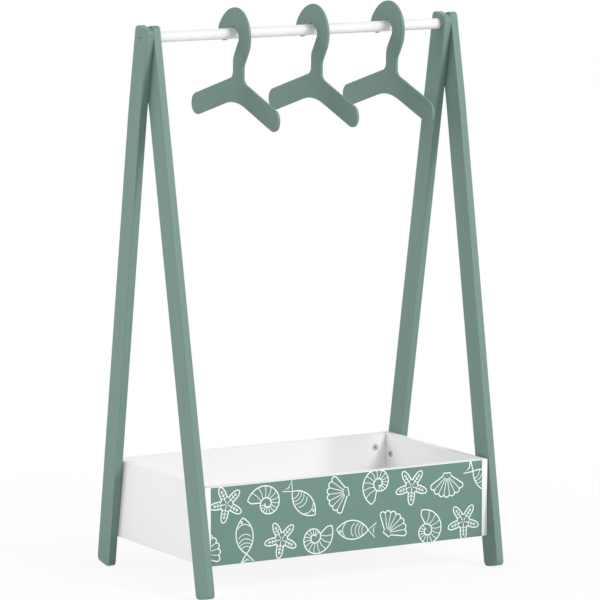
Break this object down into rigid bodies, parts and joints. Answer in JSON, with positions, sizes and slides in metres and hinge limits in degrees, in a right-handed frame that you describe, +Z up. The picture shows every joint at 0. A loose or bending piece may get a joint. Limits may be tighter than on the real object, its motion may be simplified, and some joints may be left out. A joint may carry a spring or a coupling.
{
  "type": "children's clothing rack",
  "caption": "Low A-frame clothing rack for a child: crossed legs at each end, a round rod with flat swinging hangers, and an open storage box between the legs.",
  "frame": {"origin": "on the floor, under the middle of the rack", "axes": "+X along the hanging rod, +Y to the back, +Z up; the printed panel faces -Y"},
  "size_m": [0.66, 0.4318, 1.0502],
  "materials": {
    "leg_paint": "matt sage paint",
    "hanger_paint": "matt sage paint",
    "panel_paint": "satin white paint",
    "rod_paint": "satin white paint",
    "print_sheet": "matt printed sheet",
    "bolt_paint": "matt sage paint",
    "zinc_steel": "bright zinc"
  },
  "bodies": {
    "rack": {"right_rear_leg": "leg_paint", "right_front_leg": "leg_paint", "left_front_leg": "leg_paint", "left_rear_leg": "leg_paint", "right_pivot_bolt": "bolt_paint", "left_pivot_bolt": "bolt_paint", "right_rod_insert": "zinc_steel", "left_rod_insert": "zinc_steel", "hanging_rod": "rod_paint", "right_side_panel": "panel_paint", "left_side_panel": "panel_paint", "front_panel": "panel_paint", "back_panel": "panel_paint", "front_print_sheet": "print_sheet", "bottom_panel": "panel_paint", "right_leg_bolts": "zinc_steel", "left_leg_bolts": "zinc_steel", "right_leg_inserts": "zinc_steel", "left_leg_inserts": "zinc_steel", "back_cam_locks": "zinc_steel", "front_cam_locks": "zinc_steel", "right_cam_dowels": "zinc_steel", "left_cam_dowels": "zinc_steel"},
    "left_hanger": {"left_hanger": "hanger_paint"},
    "middle_hanger": {"middle_hanger": "hanger_paint"},
    "right_hanger": {"right_hanger": "hanger_paint"}
  },
  "joints": [
    {"name": "left_hanger_swing", "type": "hinge", "parent": "rack", "child": "left_hanger", "pos_m": [-0.1356, 0, 1.0025], "axis": [1, 0, 0], "range_deg": [-45, 45]},
    {"name": "middle_hanger_swing", "type": "hinge", "parent": "rack", "child": "middle_hanger", "pos_m": [0.0291, 0, 1.0025], "axis": [1, 0, 0], "range_deg": [-45, 45]},
    {"name": "right_hanger_swing", "type": "hinge", "parent": "rack", "child": "right_hanger", "pos_m": [0.1904, 0, 1.0025], "axis": [1, 0, 0], "range_deg": [-45, 45]}
  ]
}
